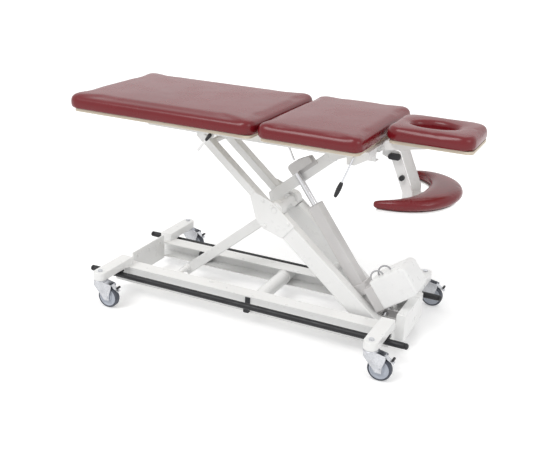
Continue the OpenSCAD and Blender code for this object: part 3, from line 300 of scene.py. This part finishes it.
def new_piece(name, points, faces, finish):
    """A smooth mesh object at the origin, from an array of points in metres and its faces."""
    mesh = bpy.data.meshes.new(name)
    mesh.from_pydata(np.asarray(points, float).reshape(-1, 3).tolist(), [],
                     [list(map(int, f)) for f in faces])
    mesh.validate()
    mesh.materials.append(FINISHES[finish])
    mesh.shade_smooth()
    return placed(name, mesh)


def fitted(name, shape, body, finish, node=None):
    """A piece from its points and faces, with the faces turned outwards, riding on its body. It
    takes a CAD node's place where one is named."""
    piece = new_piece(name, *shape, finish)
    work = bmesh.new()
    work.from_mesh(piece.data)
    bmesh.ops.recalc_face_normals(work, faces=work.faces)
    work.to_mesh(piece.data)
    work.free()
    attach(piece, body)
    if node:
        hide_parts(node)


def circle(n):
    """n even directions round a circle."""
    return np.arange(n) / n * 2 * np.pi


def ring_faces(m, n, closed=False):
    """Quads between m rings of n points, and between the last ring and the first one where the
    band is closed."""
    k = np.arange(m if closed else m - 1)[:, None]
    i = np.arange(n)[None, :]
    j = (i + 1) % n
    q = (k + 1) % m
    return np.stack([k * n + i, k * n + j, q * n + j, q * n + i], axis=-1).reshape(-1, 4)


def capped_faces(m, n):
    """Quads between m rings of n points, with a face that fills the first ring and the last."""
    return ring_faces(m, n).tolist() + [list(range(n - 1, -1, -1)),
                                        list(range((m - 1) * n, m * n))]


def round_outline(length, width, radius, n):
    """A rectangle with round corners, anticlockwise, of n points in each corner: each point is
    its corner's centre plus the radius along a direction, and the directions turn at a steady
    rate through a quarter circle."""
    corner = np.repeat([[1, 1], [-1, 1], [-1, -1], [1, -1]], n, axis=0)
    turn = np.concatenate([np.linspace(0, np.pi / 2, n) + q * np.pi / 2 for q in range(4)])
    return np.stack([corner[:, 0] * (length / 2 - radius) + radius * np.cos(turn),
                     corner[:, 1] * (width / 2 - radius) + radius * np.sin(turn)], axis=-1)


def finished_mesh(piece):
    """The piece's mesh as its modifiers leave it."""
    bpy.context.view_layer.update()
    graph = bpy.context.evaluated_depsgraph_get()
    return bpy.data.meshes.new_from_object(piece.evaluated_get(graph))


def points_of(mesh):
    """The mesh's corners as an array."""
    flat = np.empty(len(mesh.vertices) * 3)
    mesh.vertices.foreach_get("co", flat)
    return flat.reshape(-1, 3)


def set_points(mesh, points):
    """The mesh's corners moved to the points."""
    mesh.vertices.foreach_set("co", points.ravel())
    mesh.update()


def even_quads(piece, size):
    """The piece on an even grid of quads of that size."""
    remesh = piece.modifiers.new("even", "REMESH")
    remesh.mode = "VOXEL"
    remesh.voxel_size = size
    old, mesh = piece.data, finished_mesh(piece)
    piece.modifiers.clear()
    piece.data = mesh
    bpy.data.meshes.remove(old)


def smoothed(mesh, rounds, weight):
    """The mesh's points, each moved part of the way to the mean of its neighbours along the
    edges, a number of times."""
    points = points_of(mesh)
    ends = np.empty(len(mesh.edges) * 2, int)
    mesh.edges.foreach_get("vertices", ends)
    a, b = ends.reshape(-1, 2).T
    count = np.bincount(np.concatenate([a, b]), minlength=len(points))[:, None]
    for _ in range(rounds):
        total = np.zeros_like(points)
        np.add.at(total, a, points[b])
        np.add.at(total, b, points[a])
        points = points + weight * (total / count - points)
    return points


# Steel and plastic with rounded edges

MERGE_WITHIN = 0.01 * MM
FLAT_WITHIN = 0.5
SHARP_ABOVE = 40
ROUND_ABOVE = 50


def rounded(node, width):
    """A node's solid with its sharp edges rounded to that width in millimetres, as rolled tube
    and moulded covers have them. The angles at which an edge counts are in degrees."""
    work = bmesh.new()
    work.from_mesh(frame["nodes"][node].data)
    bmesh.ops.remove_doubles(work, verts=work.verts, dist=MERGE_WITHIN)
    bmesh.ops.dissolve_limit(work, angle_limit=math.radians(FLAT_WITHIN), verts=work.verts,
                             edges=work.edges)
    mesh = bpy.data.meshes.new(node + "_rounded")
    work.to_mesh(mesh)
    work.free()
    for layer in ("custom_normal", "sharp_face", "sharp_edge"):
        if layer in mesh.attributes:
            mesh.attributes.remove(mesh.attributes[layer])
    mesh.materials.clear()
    mesh.materials.append(FINISHES[SLOTS[node]])
    mesh.shade_smooth()
    mesh.set_sharp_from_angle(angle=math.radians(SHARP_ABOVE))
    piece = placed(node + "_rounded", mesh)
    bevel = piece.modifiers.new("edges", "BEVEL")
    bevel.width = width * MM
    bevel.segments = 3
    bevel.limit_method = "ANGLE"
    bevel.angle_limit = math.radians(ROUND_ABOVE)
    bevel.use_clamp_overlap = False
    even = piece.modifiers.new("flat_faces", "WEIGHTED_NORMAL")
    even.keep_sharp = True
    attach(piece, BODIES[node])
    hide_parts(node)


# The channels that the rollers run in keep their plain solids.
EDGES = {"motor_cover": 7, "gearbox": 2, "actuator_tube": 4, "foot_outriggers": 3,
         "head_outriggers": 3, "outer_arm_near": 3, "outer_arm_far": 3, "inner_arm": 3,
         "head_end_box": 1.5, "arm_rest_frame": 1.5, "leg_frame": 2, "head_frame": 1}
for node, width in EDGES.items():
    rounded(node, width)


# Levers

def swept(path, radii, n=24, flat=1.0, side=(0, 1, 0)):
    """A round bar along a path in a plane whose normal is side: ring i is its point plus its
    radius times (cos t along the path's normal in that plane + flat sin t along side)."""
    path, radii = np.asarray(path, float), np.asarray(radii, float)
    along = np.gradient(path, axis=0)
    along /= np.linalg.norm(along, axis=1)[:, None]
    across = np.asarray(side, float)
    out = np.cross(along, across)
    t = circle(n)
    rings = path[:, None] + radii[:, None, None] * (np.cos(t)[None, :, None] * out[:, None]
                                                    + flat * np.sin(t)[None, :, None] * across)
    return rings, capped_faces(len(path), n)


def line(a, b, m):
    """m points from a to b."""
    a, b = np.asarray(a, float), np.asarray(b, float)
    return a + np.linspace(0, 1, m)[:, None] * (b - a)


def round_end(s, run, least):
    """The share of its radius that a bar keeps at s, from 0 to 1 along it: all of it, and over
    the last run a quarter circle that stops before it is a point."""
    return np.sqrt(np.clip(1 - np.clip((s - (1 - run)) / run, 0, 1) ** 2, least, 1))


HEAD_LEVER_Y = -0.250
ROD_RADIUS = 3.6 * MM


def head_lever():
    """A thin zinc rod from its pivot down past a slight bend, and an oval black grip: its radius
    swells from 5 to about 10 mm and back, with nine shallow finger rings."""
    y = HEAD_LEVER_Y
    rod = np.concatenate([line((0.433, y, 0.8605), (0.389, y, 0.745), 24),
                          line((0.3885, y, 0.7435), (0.380, y, 0.7215), 6)])
    fitted("head_lever_rod", swept(rod, np.full(len(rod), ROD_RADIUS)), "head_release", "zinc",
           "head_lever")
    s = np.linspace(0, 1, 60)
    body = 5.0 + 5.2 * np.sin(np.pi * s ** 0.8) ** 0.6
    rings = 0.45 * np.sin(s * 2 * np.pi * 9) * np.clip(4 * s * (1 - s), 0, 1)
    radii = (body + rings) * round_end(s, 0.07, 0.02) * MM
    middle = line((0.3905, y, 0.749), (0.3645, y, 0.681), len(s))
    fitted("head_lever_grip", swept(middle, radii, 32, 0.82), "head_release", "black_plastic")


head_lever()

LEG_LEVER_Y = -0.300
BOOT_RADIUS = 8.2 * MM
BOOT_PROFILE = np.array([.3, .8, .95, 1, 1, 1, .96, .92, .9, .88, .86, .84, .8, .74, .6, .3])


def leg_lever():
    """The leg section's release: a flat white blade that widens from 4.2 to 6.8 mm of radius, on
    a black boot at its pivot."""
    y = LEG_LEVER_Y
    middle = line((-0.181, y, 0.8735), (-0.206, y, 0.841), len(BOOT_PROFILE))
    fitted("leg_lever_boot", swept(middle, BOOT_RADIUS * BOOT_PROFILE, 28, 0.9), "leg_release",
           "black_plastic", "leg_lever")
    s = np.linspace(0, 1, 40)
    radii = (4.2 + 2.6 * s) * round_end(s, 0.1, 0.03) * MM
    middle = line((-0.200, y, 0.849), (-0.2445, y, 0.792), len(s))
    fitted("leg_lever_blade", swept(middle, radii, 24, 0.6), "leg_release", "white_plastic")


leg_lever()


# Welds, bearings and caps, with their sizes in millimetres

SIDES = (("near", -1), ("far", 1))
OUTRIGGERS = {"foot": -704.0, "head": 613.4}
OUTRIGGER_HALF = 31.25
WELD_Z = 129
WELD_Y = (174, 233)
END_WELD_Y, END_WELD_HALF = 171, 29
CASTER_Y = 389
CROSS_WELD_Y = 137.5
BAR_Y, BAR_Z = 261, 105
CAP_RADIUS, CAP_RISE, CAP_DEPTH = 13.6, 9, 6
AXIS_GAP = 0.05
PEDAL_TIP = [(AXIS_GAP, -13), (4.4, -12.6), (5.6, -11), (5.6, 11), (4.4, 12.6), (AXIS_GAP, 13)]


def weld_radius(phase):
    """A weld bead's radius in metres: 2.2 mm plus 0.5 mm times |sin| of the phase."""
    return (2.2 + 0.5 * np.abs(np.sin(phase))) * MM


def bead(name, a, b, side):
    """A straight weld bead on the base from a to b, with a ripple each 4 mm and slim ends."""
    a, b = np.asarray(a, float) * MM, np.asarray(b, float) * MM
    run = np.linalg.norm(b - a)
    m = int(run / (1 * MM)) + 2
    radii = weld_radius(np.linspace(0, run, m) / (4 * MM) * np.pi)
    radii[[0, -1]] *= 0.4
    fitted(name, swept(line(a, b, m), radii, 12, 1.0, side), "base", "white_paint")


def ring_bead(name, centre, radius):
    """A weld on the base round a tube that lies along y: a ring with fifty ripples."""
    turn, t = circle(160), circle(12)
    thick = weld_radius(turn * 25)[:, None]
    out = radius * MM + thick * np.cos(t)
    points = np.stack([centre[0] * MM + out * np.cos(turn)[:, None],
                       centre[1] * MM + thick * np.sin(t),
                       centre[2] * MM + out * np.sin(turn)[:, None]], axis=-1)
    fitted(name, (points, ring_faces(160, 12, True)), "base", "white_paint")


def turned(name, profile, centre, body, finish, along="z"):
    """A turned part: a closed profile of (radius, height) points carried once round an axis
    through centre. A profile keeps AXIS_GAP from the axis, so that no face shrinks to a point."""
    profile = np.asarray(profile, float) * MM
    turn = circle(64)
    a = profile[None, :, 0] * np.cos(turn)[:, None]
    b = profile[None, :, 0] * np.sin(turn)[:, None]
    h = np.broadcast_to(profile[None, :, 1], a.shape)
    order = {"x": [h, a, b], "y": [a, h, b], "z": [a, b, h]}[along]
    points = np.stack(order, axis=-1) + np.asarray(centre, float) * MM
    fitted(name, (points, ring_faces(len(turn), len(profile), True)), body, finish)


def outrigger_details(end, x, side, s):
    """An outrigger's three welds on one rail, its caster's raceway and its pedal's black tip."""
    for k, edge in enumerate((x - OUTRIGGER_HALF, x + OUTRIGGER_HALF)):
        bead(f"weld_{end}_{side}_{k}", (edge, s * WELD_Y[0], WELD_Z),
             (edge, s * WELD_Y[1], WELD_Z), (1, 0, 0))
    bead(f"weld_{end}_{side}_end", (x - END_WELD_HALF, s * END_WELD_Y, WELD_Z),
         (x + END_WELD_HALF, s * END_WELD_Y, WELD_Z), (0, 1, 0))
    t = circle(16)
    turned(f"raceway_{end}_{side}", np.c_[28.5 + 3 * np.cos(t), 123.5 + 3.2 * np.sin(t)],
           (x, s * CASTER_Y, 0), f"fork_{end}_{side}", "zinc")
    pedal_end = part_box(f"brake_{end}_{side}")[1]
    turned(f"pedal_tip_{end}_{side}", PEDAL_TIP,
           (pedal_end.x / MM - 5, s * CASTER_Y, pedal_end.z / MM - 7), f"brake_{end}_{side}",
           "black_plastic", "y")


def side_details(side, s):
    """A bar's two domed caps, and the cross tube's weld at the rail."""
    t = np.linspace(0, np.pi / 2, 10)
    dome = np.r_[np.c_[CAP_RADIUS * np.sin(t), CAP_RISE * np.cos(t)],
                 [[CAP_RADIUS, -CAP_DEPTH], [AXIS_GAP, -CAP_DEPTH]]]
    dome[0, 0] = AXIS_GAP
    low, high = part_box(f"activation_bar_{side}")
    for k, (x, way) in enumerate(((low.x, -1), (high.x, 1))):
        turned(f"bar_cap_{side}_{k}", dome * (1, way), (x / MM, s * BAR_Y, BAR_Z),
               f"bar_{side}", "black_plastic", "x")
    low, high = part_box("base_cross_tube")
    ring_bead(f"weld_cross_{side}",
              ((low.x + high.x) / 2 / MM, s * CROSS_WELD_Y, (low.z + high.z) / 2 / MM),
              (high.z - low.z) / 2 / MM)


for end, x in OUTRIGGERS.items():
    for side, s in SIDES:
        outrigger_details(end, x, side, s)
for side, s in SIDES:
    side_details(side, s)


# Cushions

CORNER = 12
PAD_SLOPE = 22 * MM
PAD_TUCK = 9 * MM
PAD_RISE = 5 * MM
CROWN = 5 * MM
STAPLED = 10 * MM
SIDE_GIVE = 2 * MM
CLOTH_STEPS = 20


def stuffed(piece, floor_z, rise):
    """The cover is blown up like cloth over foam, held where it is stapled under the board: no
    point moves further than rise upwards or SIDE_GIVE sideways, eased in by a hyperbolic tangent
    of its own movement."""
    rest = points_of(piece.data)
    held = np.clip(1 - (rest[:, 2] - floor_z) / STAPLED, 0, 1)
    group = piece.vertex_groups.new(name="stapled")
    for level in np.unique(held.round(1)):
        members = np.flatnonzero(held.round(1) == level)
        if level > 0:
            group.add(members.tolist(), float(level), "REPLACE")
    cloth = piece.modifiers.new("cover", "CLOTH")
    cover = cloth.settings
    cover.quality = 5
    cover.mass = 0.4
    cover.tension_stiffness = cover.compression_stiffness = 20
    cover.shear_stiffness = 12
    cover.bending_stiffness = 1.5
    cover.use_pressure = True
    cover.uniform_pressure_force = 4
    cover.vertex_group_mass = "stapled"
    cover.effector_weights.gravity = 0
    cloth.point_cache.frame_start, cloth.point_cache.frame_end = 1, CLOTH_STEPS
    for step in range(1, CLOTH_STEPS + 1):
        bpy.context.scene.frame_set(step)
    blown = points_of(finished_mesh(piece))
    piece.modifiers.clear()
    piece.vertex_groups.clear()
    bpy.context.scene.frame_set(1)
    move = (blown - rest) * (1 - held)[:, None]
    limit = np.array([SIDE_GIVE, SIDE_GIVE, rise])
    set_points(piece.data, rest + limit * np.tanh(move / limit))


def upholstered(piece, grid, node, body, floor_z, rise):
    """The last steps of each pad: an even grid, blown up, eased, flat underneath, finer by one
    subdivision, riding on its body."""
    even_quads(piece, grid)
    stuffed(piece, floor_z, rise)
    points = smoothed(piece.data, 3, 0.4)
    points[:, 2] = np.maximum(points[:, 2], floor_z)
    set_points(piece.data, points)
    piece.data.materials.clear()
    piece.data.materials.append(FINISHES["upholstery"])
    piece.data.shade_smooth()
    finer = piece.modifiers.new("finer", "SUBSURF")
    finer.levels = finer.render_levels = 1
    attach(piece, body)
    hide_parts(node)


def pad_profile(height):
    """A cushion's side from its underside up, as (height, how far it is drawn in). A quarter
    ellipse tucks it under at the board, it is at its widest between a quarter and two fifths of
    its height, and a wider quarter ellipse leans back from there to the top."""
    turn = np.linspace(0, np.pi / 2, 8)
    under = np.stack([0.25 * height * (1 - np.cos(turn)), PAD_TUCK * (1 - np.sin(turn))], axis=-1)
    lean = np.stack([height * (0.4 + 0.6 * np.sin(turn)),
                     PAD_SLOPE * (1 - np.cos(turn)) ** 1.15], axis=-1)
    return np.concatenate([under, lean])


def level_ring(outline, height):
    """An outline as a ring of points at that height."""
    return np.c_[outline, np.full(len(outline), height)]


def side_rings(length, width, height, radius):
    """The rings of a cushion's side: round-cornered outlines stacked along the side profile."""
    return [level_ring(round_outline(length - 2 * inset, width - 2 * inset, radius - inset / 2,
                                     CORNER), up)
            for up, inset in pad_profile(height)]


def flat_pad(name, node, body, grid, bulge=0.0):
    """A table cushion: its side, then outlines drawn towards the middle over a crown that rises
    as one minus the square of the distance. The foot end may bulge past its board."""
    low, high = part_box(node)
    low.x -= bulge
    high.z += PAD_RISE
    length, width = high.x - low.x, high.y - low.y
    height = high.z - low.z - CROWN
    rings = side_rings(length, width, height, 42 * MM + bulge)
    for share in (0.9, 0.75, 0.5, 0.25, 0.05):
        outline = round_outline((length - 2 * PAD_SLOPE) * share, (width - 2 * PAD_SLOPE) * share,
                                (31 * MM + bulge) * share, CORNER)
        rings.append(level_ring(outline, height + CROWN * (1 - share ** 2)))
    points = np.array(rings) + [(low.x + high.x) / 2, (low.y + high.y) / 2, low.z]
    piece = new_piece(name, points, capped_faces(len(rings), 4 * CORNER), "upholstery")
    upholstered(piece, grid, node, body, low.z, 4 * MM)


flat_pad("leg_pad", "leg_cushion", "leg_section", 10 * MM, 16 * MM)
flat_pad("middle_pad", "mid_cushion", "top", 9 * MM)

HEAD_SHORTER = 12 * MM
HOLE_X, HOLE_LENGTH, HOLE_WIDTH = 0.679, 0.186, 0.128
HOLE_RIM = 22 * MM


def head_pad():
    """The head cushion: the side as on the other pads, and a rim that rolls down as a quarter
    circle into an oval hole."""
    low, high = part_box("head_cushion")
    high.x -= HEAD_SHORTER
    high.z += PAD_RISE
    middle = np.array([(low.x + high.x) / 2, 0, low.z])
    length, width, height = high.x - low.x, high.y - low.y, high.z - low.z
    rings = side_rings(length, width, height, 56 * MM)
    turn = np.concatenate([(np.arange(CORNER) + 0.5) / CORNER * np.pi / 2 + q * np.pi / 2
                           for q in range(4)])

    def hole_ring(out, up):
        """A ring that stands out from the hole's wall, at a height."""
        return level_ring(np.c_[HOLE_X - middle[0] + (HOLE_LENGTH / 2 + out) * np.cos(turn),
                                (HOLE_WIDTH / 2 + out) * np.sin(turn)], up)

    for fall in np.linspace(0, np.pi / 2, 8):
        rings.append(hole_ring(HOLE_RIM * (1 - np.sin(fall)),
                               height - HOLE_RIM * (1 - np.cos(fall))))
    for share in (0.5, 0.25, 0.0):
        rings.append(hole_ring(0, share * (height - HOLE_RIM)))
    piece = new_piece("head_pad", np.array(rings) + middle,
                      ring_faces(len(rings), 4 * CORNER, True), "upholstery")
    upholstered(piece, 7 * MM, "head_cushion", "head_section", low.z, 3 * MM)


head_pad()

ARM_MIDDLE_X, ARM_FRONT_X = 540, 819
ARM_HALF_SPAN = 0.238
ARM_TIP, ARM_SWELL = 17, 57


def arm_pad():
    """The arm rest: an oval section swept round half an ellipse. Half the section's width is
    ARM_TIP plus ARM_SWELL times cos(turn) to the 1.6, and five more rings close each round tip.
    The section's sides are powers of the cosine and the sine, fuller than an ellipse."""
    low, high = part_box("arm_rest_cushion")
    high.z += PAD_RISE
    turn = np.linspace(-90, 90, 61) * np.pi / 180
    half = (ARM_TIP + ARM_SWELL * np.cos(turn) ** 1.6) * MM
    past = np.array([0.02, 0.35, 0.6, 0.8, 0.93])
    tip_share, tip_back = np.sqrt(1 - (1 - past) ** 2), (1 - past) * ARM_TIP * MM
    shares = np.concatenate([tip_share, np.ones(len(turn)), tip_share[::-1]])
    back = np.concatenate([tip_back, np.zeros(len(turn)), tip_back[::-1]])
    turn, half = (np.pad(values, len(past), "edge") for values in (turn, half))
    around = circle(24)
    across = np.sign(np.cos(around)) * np.abs(np.cos(around)) ** 0.7
    up = np.sign(np.sin(around)) * np.abs(np.sin(around)) ** 0.8
    reach = (ARM_FRONT_X - ARM_MIDDLE_X - ARM_TIP - ARM_SWELL) * MM
    out = across[None, :] * (half * shares)[:, None]
    thick = 0.56 + 0.44 * np.clip(np.cos(turn), 0, 1) ** 0.7
    x = ARM_MIDDLE_X * MM + (reach + out) * np.cos(turn)[:, None] - back[:, None]
    y = (ARM_HALF_SPAN + out) * np.sin(turn)[:, None]
    z = low.z + (high.z - low.z) / 2 * (1 + up[None, :] * np.sqrt(shares)[:, None]) \
        * thick[:, None]
    piece = new_piece("arm_pad", np.stack([x, y, z], axis=-1),
                      capped_faces(len(turn), len(around)), "upholstery")
    upholstered(piece, 6 * MM, "arm_rest_cushion", "arm_rest", low.z, 2 * MM)


arm_pad()


# Floor and light

FLOOR_HALF = 20
FLOOR_LIFT = 0.30
FILL = 0.64
LAMPS = {"over_camera": ((-1.2, -2.4, 3.2), 28, 1.10), "head_end": ((3.4, -1.0, 2.2), 26, 0.40),
         "behind": ((-0.6, 2.6, 3.4), 40, 0.30)}


def glow(nodes, links, strength):
    """How far a ray is one of the camera's, a reflection or seen through clear material, and a
    white light of that strength for such rays."""
    path = nodes.new("ShaderNodeLightPath")
    first, second = nodes.new("ShaderNodeMath"), nodes.new("ShaderNodeMath")
    first.operation = second.operation = "MAXIMUM"
    links.new(path.outputs["Is Camera Ray"], first.inputs[0])
    links.new(path.outputs["Is Glossy Ray"], first.inputs[1])
    links.new(first.outputs[0], second.inputs[0])
    links.new(path.outputs["Is Transmission Ray"], second.inputs[1])
    seen = nodes.new("ShaderNodeEmission")
    seen.inputs["Strength"].default_value = strength
    return second.outputs[0], seen.outputs[0]


def pale_floor():
    """The floor: a nearly white sheet that keeps the table's soft shadow and is lifted to white
    for the camera."""
    mesh = bpy.data.meshes.new("floor")
    corners = [(x * FLOOR_HALF, y * FLOOR_HALF, 0) for x, y in ((-1, -1), (1, -1), (1, 1), (-1, 1))]
    mesh.from_pydata(corners, [], [(0, 1, 2, 3)])
    floor = placed("floor", mesh)
    f = Finish("pale_floor", rough=0.8, specular=0.1)
    f.colour(f.ramp(f.noise(1.5, 3), [(0.3, (0.89, 0.89, 0.89)), (0.7, (0.92, 0.92, 0.92))]))
    share, seen = glow(f.nodes, f.links, FLOOR_LIFT)
    both = f.node("AddShader", {0: f.shader.outputs[0], 1: seen})
    either = f.node("MixShader", {0: share, 1: f.shader.outputs[0], 2: both.outputs[0]})
    f.links.new(either.outputs[0], f.nodes["Material Output"].inputs["Surface"])
    mesh.materials.append(f.material)


def studio():
    """A white surround, and three broad soft lamps a long way off: over the camera's left, from
    the head end, and from behind. LAMPS gives each one's place, its spread in degrees and its
    strength, and each points from its place to the origin."""
    world = bpy.data.worlds.new("studio")
    bpy.context.scene.world = world
    world.use_nodes = True
    nodes, links = world.node_tree.nodes, world.node_tree.links
    fill = nodes["Background"]
    fill.inputs["Color"].default_value = (1, 1, 1, 1)
    fill.inputs["Strength"].default_value = FILL
    share, seen = glow(nodes, links, 1.0)
    choose = nodes.new("ShaderNodeMixShader")
    links.new(share, choose.inputs[0])
    links.new(fill.outputs[0], choose.inputs[1])
    links.new(seen, choose.inputs[2])
    links.new(choose.outputs[0], nodes["World Output"].inputs["Surface"])
    for name, (place, spread, power) in LAMPS.items():
        lamp = bpy.data.lights.new(name, "SUN")
        lamp.angle = math.radians(spread)
        lamp.energy = power
        holder = placed(name, lamp)
        holder.location = place
        holder.rotation_euler = (-Vector(place)).to_track_quat("-Z", "Y").to_euler()
    bpy.context.scene.view_settings.view_transform = "Standard"


pale_floor()
studio()

bpy.context.view_layer.update()
